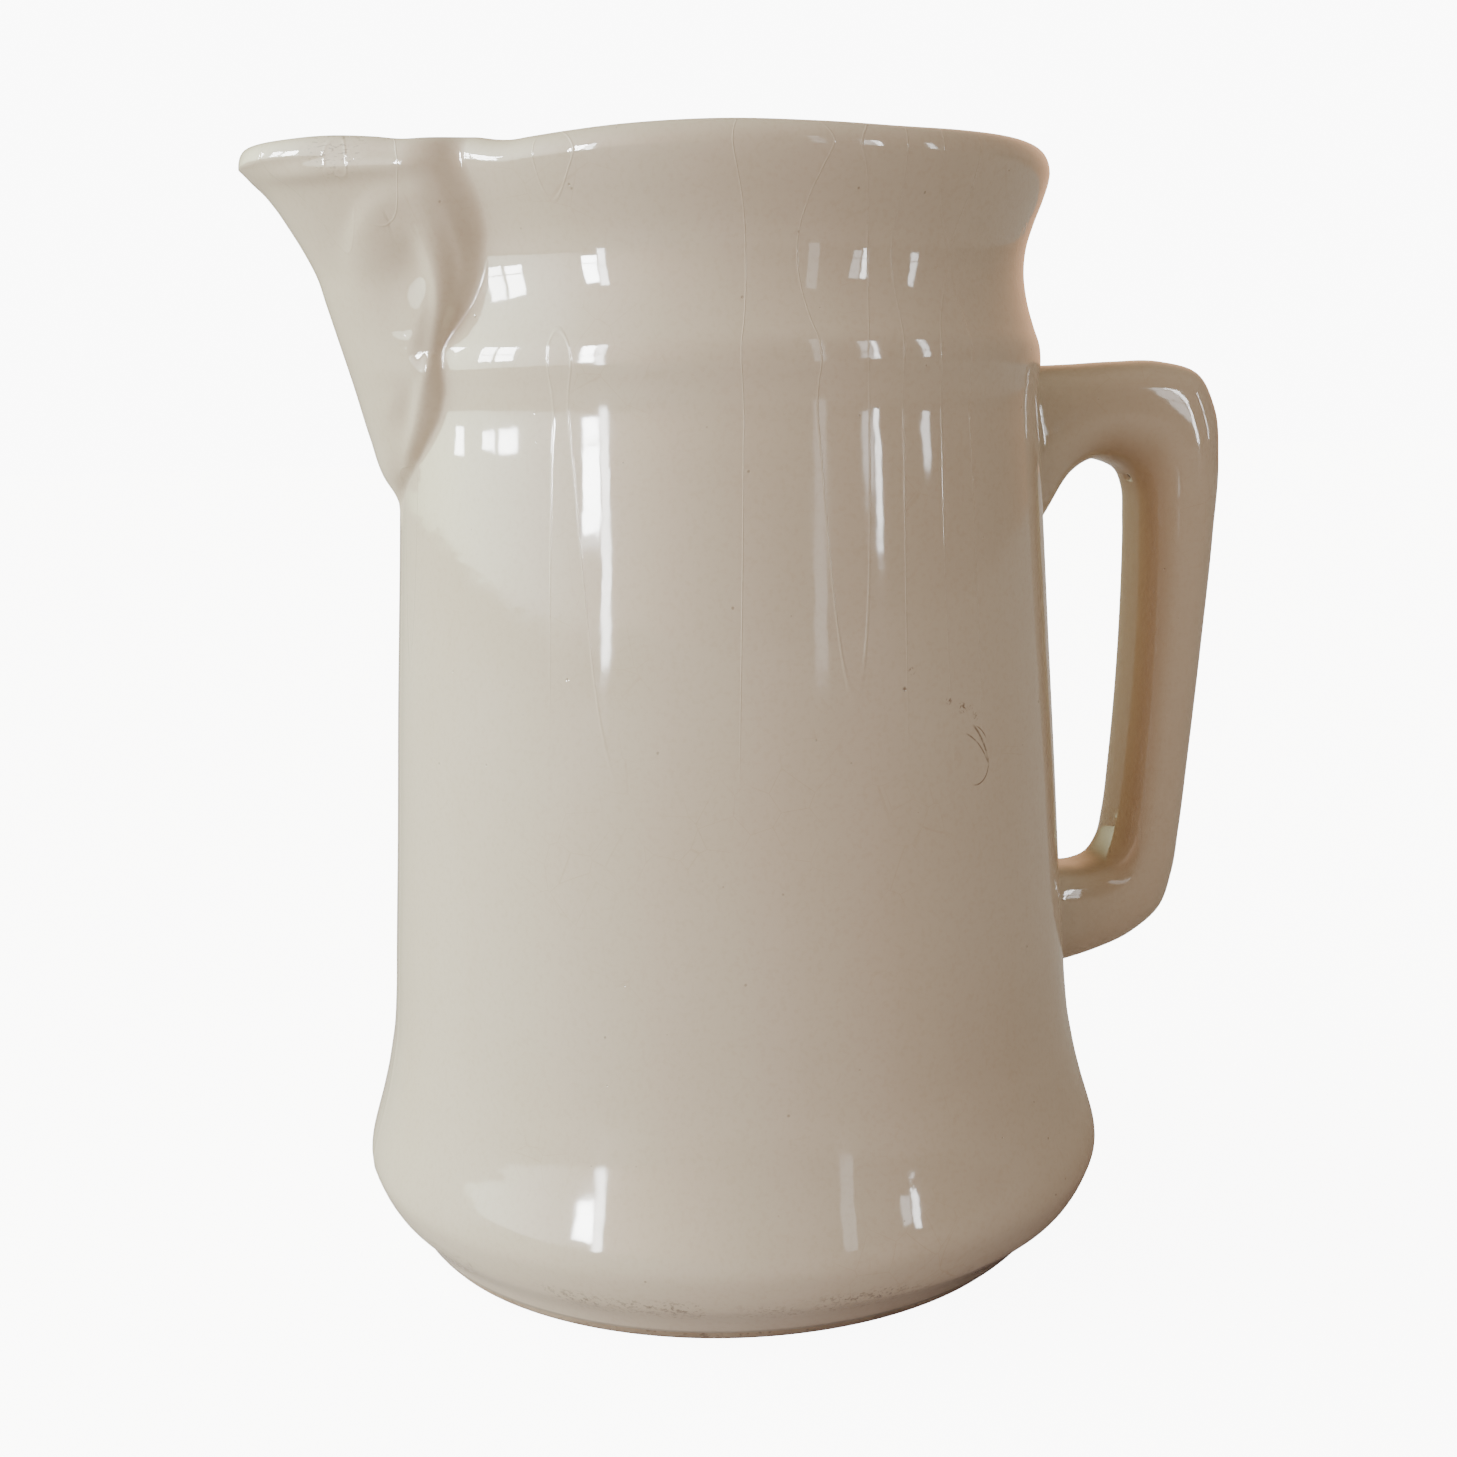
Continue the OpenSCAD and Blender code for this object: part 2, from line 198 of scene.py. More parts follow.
# The inside: the widest it gets in the flared foot, the thickness of the spout's sides and, as
# a multiple of KEEL_WALL against the height, of its keel
INSIDE_MAX_R = 80.5
SPOUT_WALL, KEEL_WALL = 5.0, 5.6
keel_wall = curve([(170, 1.1), (200, 1.1), (224, 1.2), (238, 1.5), (246, 1.4), (251, 1.0)])
# The channel opens between these heights, from this far inside the wall
CHANNEL_LOW, CHANNEL_HIGH, CHANNEL_SUNK, CHANNEL_ROUND = KEEL_Z + 9, KEEL_Z + 26, 8, 3.0


def channel_r(delta, z):
    """The inside of the wall and of the spout's channel: its distance from the axis."""
    wall_in = np.minimum(body_r(z) - WALL, INSIDE_MAX_R)
    opened = ramp(z, CHANNEL_LOW, CHANNEL_HIGH)
    spout_in = spout_r(delta, z, SPOUT_WALL, KEEL_WALL * keel_wall(z))
    sunk = wall_in - CHANNEL_SUNK + (spout_in - wall_in + CHANNEL_SUNK) * opened
    return smooth_max(wall_in, sunk, CHANNEL_ROUND)


# ---- The leaf scroll on each side of the spout ----

# Ridges seen from the side, as stations of (reach towards the spout, height, rise, half width)
SCROLL_LINES = {
    "rib": [(75.3, 180, 0.3, 1.0), (74.8, 184, 0.7, 1.2), (73.9, 190, 0.8, 1.3),
            (72.2, 200, 0.9, 1.5), (70.6, 207, 1.0, 1.5), (69.6, 212, 1.1, 1.6),
            (69.0, 217, 1.1, 1.6), (69.2, 222, 1.1, 1.6), (70.2, 226.2, 1.0, 1.7),
            (71.6, 229.8, 0.7, 1.8), (73.0, 233.4, 0.2, 2.0)],
    "curl": [(73.6, 233.0, 0.1, 2.6), (75.6, 236.0, 0.3, 2.8), (78.4, 237.4, 0.5, 2.9),
             (81.2, 236.4, 0.7, 2.7), (83.0, 233.4, 0.8, 2.4), (83.7, 229.6, 0.7, 2.4),
             (83.2, 225.8, 0.4, 2.6), (81.8, 222, 0.1, 2.8)],
    "fold": [(67.9, 238, 0.1, 1.8), (66.6, 234.6, 0.25, 1.7), (65.0, 230, 0.35, 1.6),
             (64.2, 226, 0.3, 1.6), (64.5, 222, 0.2, 1.6), (65.6, 218, 0.1, 1.6)],
    "vein": [(82.5, 217.4, 0.03, 1.0), (80.6, 213.8, 0.10, 1.1), (77.0, 211.0, 0.13, 1.1),
             (73.5, 211.0, 0.05, 1.1)]}
# Rounded swellings and hollows: (reach, height, rise, half length, half height, tilt in degrees)
SCROLL_SWELLS = [
    (79.4, 230.0, 1.2, 5.2, 7.6, 14), (74.0, 225.4, -0.5, 2.8, 6.0, 8),
    (78.4, 197, 0.25, 2.0, 3.0, 10), (75.6, 196, -0.3, 1.8, 4.5, 5),
    (75.8, 188.5, 0.2, 1.6, 2.6, 0)]
# The thick rolled lip of the spout: height, rise and half height of its swelling
LIP_ROLL = (244.6, 0.8, 2.0)
# Where the scroll fades: in degrees off the keel, and in height under the lip
SCROLL_FADE_TURN, SCROLL_FADE_Z = (6, 12), (246, 242)
# Where the lip's roll fades, in degrees: towards the keel, and towards the body
LIP_FADE_KEEL, LIP_FADE_BODY = (4, 14), (31, 25)
# A ridge is this much wider on its body side
BODY_SIDE_REACH = 0.6


def line_relief(x, z, stations):
    """Height over (x, z) of a ridge that runs through stations, gentler on the body's side."""
    across, up, rise, width = np.array(stations, float).T
    share = np.arange(len(stations))
    fine = np.linspace(0, len(stations) - 1, 8 * len(stations))
    path = [curve(list(zip(share, row)))(fine) for row in (across, up, rise, width)]
    best = np.full(x.shape, 1e9)
    height = np.zeros(x.shape)
    for px, pz, rise, width in zip(*path):
        gap = ((x - px) * np.where(x < px, BODY_SIDE_REACH, 1.0))**2 + (z - pz)**2
        nearer = gap < best
        best = np.where(nearer, gap, best)
        height = np.where(nearer, rise * np.exp(-gap / width**2), height)
    return height


def relief(points, delta):
    """How far the scroll and the lip's roll stand off the spout's side at each point."""
    x, y, z = -points[..., 0], points[..., 1], points[..., 2]
    height = sum(line_relief(x, z, stations) for stations in SCROLL_LINES.values())
    for px, pz, rise, long, tall, tilt in SCROLL_SWELLS:
        c, s = math.cos(math.radians(tilt)), math.sin(math.radians(tilt))
        u = ((x - px) * c + (z - pz) * s) / long
        v = ((z - pz) * c - (x - px) * s) / tall
        height = height + rise * np.exp(-u * u - v * v)
    turned = np.abs(np.degrees(delta))
    height = height * ramp(turned, *SCROLL_FADE_TURN) * ramp(z, *SCROLL_FADE_Z)
    at, rise, tall = LIP_ROLL
    return (height + rise * bump(z - at, tall) * ramp(turned, *LIP_FADE_KEEL)
            * ramp(turned, *LIP_FADE_BODY))


# The rows of both sides are level up to STRETCH_Z, and above it they follow the uneven rim
STRETCH_Z, ROWS_TOP = 200.0, 250.0


def skin_rows():
    """Heights of the outside's rows, closer together over the spout's relief."""
    return np.concatenate([
        np.linspace(GLAZE_END_Z, 16, 16), np.linspace(17, 50, 26), np.linspace(52, 168, 44),
        np.linspace(169, 210, 70), np.linspace(210.45, 244, 76), np.linspace(244.4, ROWS_TOP, 13)])


def follow_rim(z, rim_z):
    """The heights of the points of row z, where the rows' top is drawn to rim_z."""
    drawn = STRETCH_Z + (z - STRETCH_Z) * (rim_z - STRETCH_Z) / (ROWS_TOP - STRETCH_Z)
    return np.where(z > STRETCH_Z, drawn, z)


def directions():
    """Directions of the skin's columns off the spout: closest together on the spout's sides."""
    side = np.linspace(13, 34.5, 125)
    rest = np.linspace(34.5, 325.5, 180)[1:-1]
    return np.radians(np.concatenate([-side[::-1], np.linspace(-13, 13, 40)[1:-1], side, rest]))


def grid_mesh(name, rings, closed_ends):
    """A mesh object through rings of as many points each, given in millimetres.

    closed_ends holds, for the first and the last ring, the point that closes it, or None.
    """
    count = len(rings[0])
    points = np.concatenate(rings) * MM
    faces = []
    for k in range(len(rings) - 1):
        a = k * count
        for i in range(count):
            j = (i + 1) % count
            faces.append((a + i, a + j, a + count + j, a + count + i))
    verts = [tuple(p) for p in points]
    for ring, at in ((0, closed_ends[0]), (len(rings) - 1, closed_ends[1])):
        if at is None:
            continue
        centre = len(verts)
        verts.append(tuple(np.array(at) * MM))
        a = ring * count
        faces += [(a + i, a + (i + 1) % count, centre) for i in range(count)]
    mesh = bpy.data.meshes.new(name)
    mesh.from_pydata(verts, [], faces)
    tidy = bmesh.new()
    tidy.from_mesh(mesh)
    bmesh.ops.recalc_face_normals(tidy, faces=tidy.faces)
    tidy.to_mesh(mesh)
    tidy.free()
    mesh.polygons.foreach_set("use_smooth", [True] * len(mesh.polygons))
    mesh.update()
    obj = bpy.data.objects.new(name, mesh)
    bpy.context.scene.collection.objects.link(obj)
    return obj


def paint(obj, name, values):
    """Stores a number from 0 to 1 for each of the mesh's points."""
    layer = obj.data.attributes.new(name, "FLOAT", "POINT")
    padded = np.zeros(len(obj.data.vertices), np.float32)
    padded[:len(values)] = np.clip(values, 0, 1)
    layer.data.foreach_set("value", padded)


def outward(grid):
    """Unit normals of a grid of points that closes round on itself along its second axis."""
    along = np.gradient(grid, axis=0)
    round_it = np.roll(grid, -1, axis=1) - np.roll(grid, 1, axis=1)
    normal = np.cross(round_it, along)
    normal /= np.linalg.norm(normal, axis=2)[..., None]
    away = np.sign((normal[..., :2] * grid[..., :2]).sum(2))
    return normal * np.where(away == 0, 1, away)[..., None]


# The rim's roll: how far under its crest the outside and the inside start to turn, and how far
# in from the outside the crest is; and how much less the first and the last are on the spout
OUTER_DROP, INNER_DROP, CREST_IN = 4.4, 4.5, 2.8
SPOUT_LESS_DROP, SPOUT_LESS_IN = 0.6, 0.9
# Degrees off the keel between which the rim turns from the body's into the spout's
RIM_CHANGES = (36, 30)
# The width and the heights of the painted shade in the crease where the spout meets the body
CREASE_W, CREASE_Z = 1.6, (172, 182)
# Hollows in the relief get the crease's painted shade too: full at this many to the millimetre
HOLLOW_SHADE = 2.0
# The round between the inside and the floor
FLOOR_CORNER = 16.0
# The glazed underside within the ring: the share of the ring's radius, and the rise
UNDERSIDE = ((0.97, 0), (0.9, 0.2), (0.86, 0.7), (0.7, 1.2), (0.4, 1.7), (0.15, 1.9))


def jug_skin():
    """The whole glazed skin: outside, rolled rim, inside, floor and underside."""
    delta = directions()
    turned = np.degrees(np.arccos(np.cos(delta)))
    on_spout = ramp(turned, *RIM_CHANGES)
    top = HEIGHT - rim_dip(turned)
    turn_z = top - OUTER_DROP + SPOUT_LESS_DROP * on_spout
    turn_r = skin_r(delta, turn_z)
    lip = CREST_IN - SPOUT_LESS_IN * on_spout
    rings = []
    creases = []

    def ring(r, z, crease=0.0):
        r, z, crease = np.broadcast_arrays(r, z, crease)
        rings.append(np.stack([-r * np.cos(delta), -r * np.sin(delta), z + 0 * r], 1))
        creases.append(crease + 0 * delta)

    for z in skin_rows():
        level = follow_rim(z, turn_z)
        meeting = np.abs(spout_r(delta, level) - body_r(level))
        ring(skin_r(delta, level), level, bump(meeting, CREASE_W) * ramp(level, *CREASE_Z))
    grid = np.stack(rings)
    raised = relief(grid, delta)
    grid = grid + outward(grid) * raised[..., None]
    rings[:] = list(grid)
    # The relief's hollows get painted shade
    creases[:] = [c + np.clip(-r, 0, 1) * HOLLOW_SHADE for c, r in zip(creases, raised)]
    for angle in np.radians(np.linspace(0, 90, 9)[1:]):
        ring(turn_r - lip * (1 - np.cos(angle)), turn_z + (top - turn_z) * np.sin(angle))
    inner_z = top - INNER_DROP
    inner_r = channel_r(delta, inner_z)
    crest_r = turn_r - lip
    for angle in np.radians(np.linspace(90, 0, 9)[1:]):
        ring(inner_r + (crest_r - inner_r) * (1 - np.cos(angle)),
             inner_z + (top - inner_z) * np.sin(angle))
    for z in np.concatenate([np.linspace(249, 176, 50), np.linspace(172, 30, 30)]):
        level = follow_rim(z, inner_z)
        ring(channel_r(delta, level), level)
    floor_in = channel_r(delta, FLOOR_TOP + FLOOR_CORNER + 0 * delta)
    for angle in np.radians(np.linspace(0, 90, 10)):
        ring(floor_in - FLOOR_CORNER * (1 - np.cos(angle)),
             FLOOR_TOP + FLOOR_CORNER * (1 - np.sin(angle)) + 0 * delta)
    for share in (0.8, 0.5, 0.2):
        ring((floor_in - FLOOR_CORNER) * share, FLOOR_TOP + 0 * delta)
    rings.reverse()
    creases.reverse()
    edge = skin_r(delta, GLAZE_END_Z)
    for share, rise in UNDERSIDE:
        ring(edge * share, GLAZE_END_Z + rise + 0 * delta)
    skin = grid_mesh("jug_skin", rings, ((0, 0, FLOOR_TOP), (0, 0, TREAD_H + 1.5)))
    # The crease paint is painted shade, darkening the spout's crease and the relief's hollows
    paint(skin, "crease", np.concatenate(creases))
    return skin


# ---- Handle ----

# Round the loop from its top end: reach and height of the outer edge, the same of the inner
# edge, and half the width
HALF_W = 11.0
HANDLE = [
    (74, 204.0, 74, 157, HALF_W + 1.0), (80, 204.2, 80.6, 167, HALF_W + 0.6),
    (90, 204.5, 87.2, 177.0, HALF_W + 0.2), (101, 205.0, 94.0, 181.0, HALF_W),
    (113.5, 204.9, 100.6, 180.3, HALF_W), (HANDLE_REACH - 5.8, 201.9, 105.3, 177.6, HALF_W),
    (HANDLE_REACH - 1.4, 194, 107.3, 173, HALF_W), (HANDLE_REACH, 181.5, 107.8, 165, HALF_W),
    (HANDLE_REACH - 1.2, 163, 107.8, 152, HALF_W), (HANDLE_REACH - 4, 135, 106.8, 126, HALF_W),
    (HANDLE_REACH - 7.1, 107, 104.9, 103, HALF_W), (HANDLE_REACH - 9.6, 86, 103.3, 90, HALF_W),
    (HANDLE_REACH - 11.3, 75, 101.8, 84, HALF_W), (HANDLE_REACH - 14.8, 65.4, 98.6, 80, HALF_W),
    (106.4, 59.2, 94, 78.6, HALF_W), (95.5, 55.4, 88, 78.8, HALF_W + 0.2),
    (86.4, 53.6, 84, 79.4, HALF_W + 0.6), (79, 52.4, 79, 80.5, HALF_W + 1.0)]
# The section is a rounded square: 2 would be an ellipse, and more is squarer
HANDLE_SQUARENESS = 2.9
# The flare where the handle meets the wall: its radius, and how much of a full round it is
FLARE_R, FLARE_SHARE = 5.0, 0.6
# Distances from the axis between which the stain and painted shade on the loop's inner side start
STAIN_AND_SHADE_STARTS = (82, 100)
# The hole that let steam out of the hollow handle in the kiln, in the loop's inner corner
VENT_AT, VENT_R, VENT_DEPTH = (106.1, -1.5, 176.4), 0.95, 5.0
VENT_WAY = Vector((1, -0.15, 1)).normalized()
# The ball of near black painted shade inside it: how deep its centre is, its radius and its soft
# edge
VENT_SHADE_AT, VENT_SHADE_R, VENT_SHADE_SOFT = 3.4, 3.0, 0.3


def handle_mesh():
    """The handle's loop, swept through its stations and flared into the wall."""
    stations = np.array(HANDLE, float)
    outer_step = np.linalg.norm(np.diff(stations[:, :2], axis=0), axis=1)
    inner_step = np.linalg.norm(np.diff(stations[:, 2:4], axis=0), axis=1)
    length = np.concatenate([[0], np.cumsum(outer_step + inner_step)])
    tracks = [curve(list(zip(length, stations[:, k]))) for k in range(5)]
    angles = 2 * math.pi * (np.arange(64) + 0.5) / 64
    power = 2 / HANDLE_SQUARENESS
    across = np.sign(np.cos(angles)) * np.abs(np.cos(angles)) ** power
    side = np.sign(np.sin(angles)) * np.abs(np.sin(angles)) ** power
    rings = []
    for s in np.linspace(0, length[-1], 200):
        ox, oz, ix, iz, half = (track(s) for track in tracks)
        x = (ox + ix) / 2 + (ox - ix) / 2 * across
        z = (oz + iz) / 2 + (oz - iz) / 2 * across
        rings.append(np.stack([x, -half * side, z], 1))
    seams = []
    for ring in rings:
        away = ring - ring.mean(0)
        away[:, 0] = 0
        away /= np.maximum(np.linalg.norm(away, axis=1), 1e-6)[:, None]
        gap = np.hypot(ring[:, 0], ring[:, 1]) - body_r(ring[:, 2])
        near = np.clip(FLARE_R - gap, 0, FLARE_R)
        ring += away * (FLARE_R - np.sqrt(FLARE_R**2 - near**2))[:, None] * FLARE_SHARE
        seams.append(bump(gap - 0.2, 1.0))
    handle = grid_mesh("handle_loop", rings, (tuple(rings[0].mean(0)), tuple(rings[-1].mean(0))))
    paint(handle, "seam", np.concatenate(seams))
    # The loop's inner side, away from the wall, gets stain and painted shade
    inner = np.concatenate([ramp(-across, 0.1, 0.9) * np.ones(len(angles)) for _ in rings])
    far = np.concatenate([ramp(np.hypot(ring[:, 0], ring[:, 1]), *STAIN_AND_SHADE_STARTS)
                          for ring in rings])
    paint(handle, "inner_side", inner * far)
    return handle


def cut_vent(handle):
    """Cuts the round vent hole with a boolean, which is applied."""
    turn = VENT_WAY.to_track_quat("Z", "Y").to_matrix()
    rings = []
    for depth in (-3.0, VENT_DEPTH):
        rings.append(np.array([turn @ Vector((VENT_R * math.cos(a), VENT_R * math.sin(a), depth))
                               for a in np.radians(np.arange(0, 360, 22.5))]) + np.array(VENT_AT))
    cutter = grid_mesh("vent_cutter", rings, (tuple(rings[0].mean(0)), tuple(rings[1].mean(0))))
    modifier = handle.modifiers.new("vent", "BOOLEAN")
    modifier.object = cutter
    modifier.solver = "EXACT"
    bpy.context.view_layer.update()
    evaluated = handle.evaluated_get(bpy.context.evaluated_depsgraph_get())
    cut = bpy.data.meshes.new_from_object(evaluated)
    handle.modifiers.clear()
    handle.data = cut
    bpy.data.objects.remove(cutter)


RING_W = 8.0


def foot_ring_mesh():
    """The bare ring, rounded where it stands."""
    width, height = RING_W, TREAD_H
    section = [(0, height), (0.2, height * 0.5), (0.7, 0.15), (1.6, 0.0), (width - 1.6, 0.0),
               (width - 0.7, 0.15), (width - 0.2, height * 0.5), (width, height)]
    delta = np.radians(np.arange(0, 360, 1.5))
    rings = []
    for inwards, z in section:
        outer = skin_r(delta, min(z, GLAZE_END_Z) if inwards < width / 2 else 0)
        r = outer - inwards
        rings.append(np.stack([-r * np.cos(delta), -r * np.sin(delta), z + 0 * delta], 1))
    rings.append(rings[0])
    return grid_mesh("foot_ring_bare", rings, (None, None))


# ---- Materials ----

# Node trees work in metres and heights for bumps in millimetres; scales are cells to the metre


def add_node(tree, kind, inputs=None, **settings):
    """Adds a shader node, and links or sets its inputs."""
    node = tree.nodes.new("ShaderNode" + kind)
    for name, value in settings.items():
        setattr(node, name, value)
    for key, value in (inputs or {}).items():
        if isinstance(value, bpy.types.NodeSocket):
            tree.links.new(value, node.inputs[key])
        else:
            node.inputs[key].default_value = value
    return node


def new_material(name):
    """A new material, its node tree and its shader."""
    material = bpy.data.materials.new(name)
    material.use_nodes = True
    tree = material.node_tree
    return material, tree, tree.nodes["Principled BSDF"]


def place(tree):
    """Where a point is on the jug, in metres."""
    return add_node(tree, "TexCoord").outputs["Object"]


def stretched(tree, at, scale, shift=(0, 0, 0)):
    return add_node(tree, "Mapping", {"Vector": at, "Scale": scale,
                                      "Location": shift}).outputs["Vector"]


def noise(tree, at, scale, detail=2.0, distortion=0.0, roughness=0.5):
    return add_node(tree, "TexNoise", {"Vector": at, "Scale": scale, "Detail": detail,
                                       "Roughness": roughness,
                                       "Distortion": distortion}).outputs["Fac"]


def ranged(tree, value, low, high, to_low=0.0, to_high=1.0):
    """to_low where value is low, to_high where it is high, and eased in between."""
    return add_node(tree, "MapRange", {"Value": value, "From Min": low, "From Max": high,
                                       "To Min": to_low, "To Max": to_high},
                    interpolation_type="SMOOTHSTEP").outputs["Result"]


def maths(tree, operation, a, b=0.0):
    return add_node(tree, "Math", {0: a, 1: b}, operation=operation).outputs["Value"]


def mixed(tree, share, a, b):
    """The colour a with this share of the colour b over it."""
    return add_node(tree, "Mix", {"Factor": share, "A": a, "B": b},
                    data_type="RGBA").outputs["Result"]


def over(tree, colour, share, strength, top):
    """The colour with the top one laid over it, where share is 1 at this strength."""
    return mixed(tree, maths(tree, "MULTIPLY", share, strength), colour, top)


def attribute(tree, name):
    return add_node(tree, "Attribute", attribute_name=name).outputs["Fac"]


def height_above(tree, at):
    return add_node(tree, "SeparateXYZ", {"Vector": at}).outputs["Z"]


def specks(tree, at, per_metre, size, kept):
    """Round specks: one in each of the kept share of cells, of up to this size in cells."""
    cell = add_node(tree, "TexVoronoi", {"Vector": at, "Scale": per_metre})
    chance = add_node(tree, "SeparateColor", {"Color": cell.outputs["Color"]})
    reach = ranged(tree, chance.outputs["Green"], 0, 1, size * 0.4, size)
    near = maths(tree, "LESS_THAN", maths(tree, "DIVIDE", cell.outputs["Distance"], reach), 1.0)
    soft = ranged(tree, maths(tree, "DIVIDE", cell.outputs["Distance"], reach), 1.0, 0.4)
    chosen = maths(tree, "LESS_THAN", chance.outputs["Red"], kept)
    return maths(tree, "MULTIPLY", maths(tree, "MULTIPLY", near, soft), chosen)


def bumped(tree, shader, height):
    """Gives the shader a bump from a height in millimetres."""
    normal = add_node(tree, "Bump", {"Height": height, "Strength": 1.0, "Distance": MM})
    tree.links.new(normal.outputs["Normal"], shader.inputs["Normal"])


def ball(tree, at, centre, radius, soft):
    """1 inside a ball, fading over soft at its surface."""
    gap = add_node(tree, "VectorMath", {0: at, 1: centre}, operation="DISTANCE").outputs["Value"]
    return ranged(tree, gap, radius + soft, radius - soft)


# How softly a scratch ends, in metres
SCRATCH_END = 0.0009


def scratch(tree, at, centre, radius, kept_centre, kept_radius, width):
    """A curved hair line: where a sphere cuts the surface, kept inside a second ball."""
    reach = add_node(tree, "VectorMath", {0: at, 1: centre}, operation="DISTANCE").outputs["Value"]
    off = maths(tree, "ABSOLUTE", maths(tree, "SUBTRACT", reach, radius))
    line = ranged(tree, off, width, width * 0.25)
    return maths(tree, "MULTIPLY", line, ball(tree, at, kept_centre, kept_radius, SCRATCH_END))


# The dark rub on the side towards the handle, in metres: lines as the sphere's centre and
# radius, the kept ball's centre and radius, and the width; and flecks above them
SCRATCHES = [
    ((0.0248, -0.0743, 0.1172), 0.01548, (0.0372, -0.0684, 0.1240), 0.0050, 0.00040),
    ((0.0266, -0.0729, 0.1143), 0.01402, (0.0357, -0.0690, 0.1234), 0.0046, 0.00028),
    ((0.0347, -0.0696, 0.1199), 0.00432, (0.0374, -0.0687, 0.1168), 0.0034, 0.00026),
    ((0.0326, -0.0704, 0.1218), 0.00693, (0.0366, -0.0684, 0.1266), 0.0018, 0.00022)]
FLECKS = [
    ((0.0315, -0.0705, 0.1324), 0.0011), ((0.0338, -0.0696, 0.1321), 0.0005),
    ((0.0350, -0.0689, 0.1309), 0.0007), ((0.0352, -0.0689, 0.1299), 0.0006),
    ((0.0278, -0.0719, 0.1343), 0.0007), ((0.0186, -0.0744, 0.1413), 0.0007)]
# Grime in the worn ridge low on the foot, in metres: it starts and ends between these heights
GRIME_LOW, GRIME_HIGH = (0.0075, 0.0095), (0.0150, 0.0120)
# The scuff on the spout's lip: centre, radius and how softly it ends
LIP_SCUFF = ((-0.090, -0.031, 0.2500), 0.007, 0.003)

CREAM = (0.70, 0.64, 0.54, 1)
CREAM_WARM = (0.66, 0.575, 0.455, 1)
# Painted shade, laid over the whole handle and into the creases
CREAM_SHADE = (0.56, 0.46, 0.33, 1)
# Brown for stains, also the painted shade on the loop's inner side
STAIN_AND_SHADE = (0.40, 0.27, 0.14, 1)
DIRT = (0.16, 0.12, 0.085, 1)
SPECK = (0.20, 0.13, 0.08, 1)
# Near black painted shade for the inside of the vent
VENT_SHADE = (0.02, 0.012, 0.008, 1)
CLAY = (0.50, 0.41, 0.30, 1)
CLAY_DARK = (0.36, 0.27, 0.18, 1)
GLAZE_IOR = 1.52
GRIME_ROUGHNESS = 0.4
CLAY_ROUGHNESS = 0.88
# How much of each colour is laid over the glaze: all over the handle as painted shade, on the inner
# side of its loop as stain and painted shade, in the seam where it meets the wall, and in the
# creases of the spout as painted shade
HANDLE_SHADE, INNER_STAIN_AND_SHADE, SEAM_STAIN, CREASE_SHADE = 0.34, 0.62, 0.45, 0.30
FINE_SPECKS, COARSE_SPECKS, GRIME, SCUFF, RUB = 0.45, 0.75, 0.75, 0.5, 0.7
# Heights of the bumps, in millimetres
PEEL_MM, RUNS_MM, THREAD_MM, PITS_MM, GRIT_MM = 0.035, 0.12, 0.05, -0.06, 0.12
# Raised threads run where the trickle noise is this near to its middle value, and only above
# these heights in metres
TRICKLE_MIDDLE, TRICKLE_HALF, THREADS_START = 0.56, 0.007, (0.10, 0.15)


def grime_share(tree, at, up):
    """Where dirt has rubbed into the ridge low on the foot."""
    band = maths(tree, "MULTIPLY", ranged(tree, up, *GRIME_LOW), ranged(tree, up, *GRIME_HIGH))
    grime = ranged(tree, noise(tree, at, 950.0, 5.0, 0.0, 0.7), 0.50, 0.60)
    patchy = ranged(tree, noise(tree, at, 55.0, 3.0), 0.42, 0.60)
    return maths(tree, "MULTIPLY", band, maths(tree, "MULTIPLY", grime, patchy))


def scuff_share(tree, at):
    """Where the lip of the spout is scuffed."""
    drawn_out = stretched(tree, at, (0.5, 0.5, 1.4))
    return maths(tree, "MULTIPLY", ball(tree, at, *LIP_SCUFF),
                 ranged(tree, noise(tree, drawn_out, 1500.0, 4.0), 0.54, 0.64))


def rub_share(tree, at):
    """The dark rub: its scratches and its broken flecks."""
    marks = scratch(tree, at, *SCRATCHES[0])
    for line in SCRATCHES[1:]:
        marks = maths(tree, "MAXIMUM", marks, scratch(tree, at, *line))
    broken = ranged(tree, noise(tree, at, 1500.0, 2.0), 0.48, 0.58)
    for centre, radius in FLECKS:
        fleck = maths(tree, "MULTIPLY", ball(tree, at, centre, radius, radius * 0.6), broken)
        marks = maths(tree, "MAXIMUM", marks, fleck)
    rubbed = ranged(tree, noise(tree, at, 700.0, 2.0), 0.30, 0.55, 0.35, 1.0)
    return maths(tree, "MULTIPLY", marks, rubbed)


def crazing(tree, at):
    """A faint net of hair cracks, patchy over the jug."""
    shifted = stretched(tree, at, (1, 1, 1), (0.3, 0.1, 0))
    bent = add_node(tree, "VectorMath", {0: at, 1: shifted}, operation="ADD").outputs["Vector"]
    cracks = add_node(tree, "TexVoronoi", {"Vector": bent, "Scale": 62.0},
                      feature="DISTANCE_TO_EDGE").outputs["Distance"]
    return maths(tree, "MULTIPLY", ranged(tree, cracks, 0.014, 0.004),
                 ranged(tree, noise(tree, at, 35.0), 0.5, 0.7, 0.0, 0.16))


def glaze_height(tree, at, up, pinholes):
    """Orange peel, soft runs, a few thin raised threads, and pinholes, in millimetres."""
    peel = maths(tree, "MULTIPLY", noise(tree, at, 150.0, 2.0), PEEL_MM)
    runs = maths(tree, "MULTIPLY", noise(tree, stretched(tree, at, (1, 1, 0.12)), 70.0, 1.0),
                 RUNS_MM)
    trickle = noise(tree, stretched(tree, at, (1, 1, 0.012), (0.4, 0, 0)), 55.0, 0.0)
    off_middle = maths(tree, "ABSOLUTE", maths(tree, "SUBTRACT", trickle, TRICKLE_MIDDLE))
    thread = maths(tree, "MULTIPLY", ranged(tree, off_middle, TRICKLE_HALF, 0.0),
                   ranged(tree, up, *THREADS_START, 0.0, THREAD_MM))
    pits = maths(tree, "MULTIPLY", pinholes, PITS_MM)
    return maths(tree, "ADD", maths(tree, "ADD", peel, runs), maths(tree, "ADD", thread, pits))


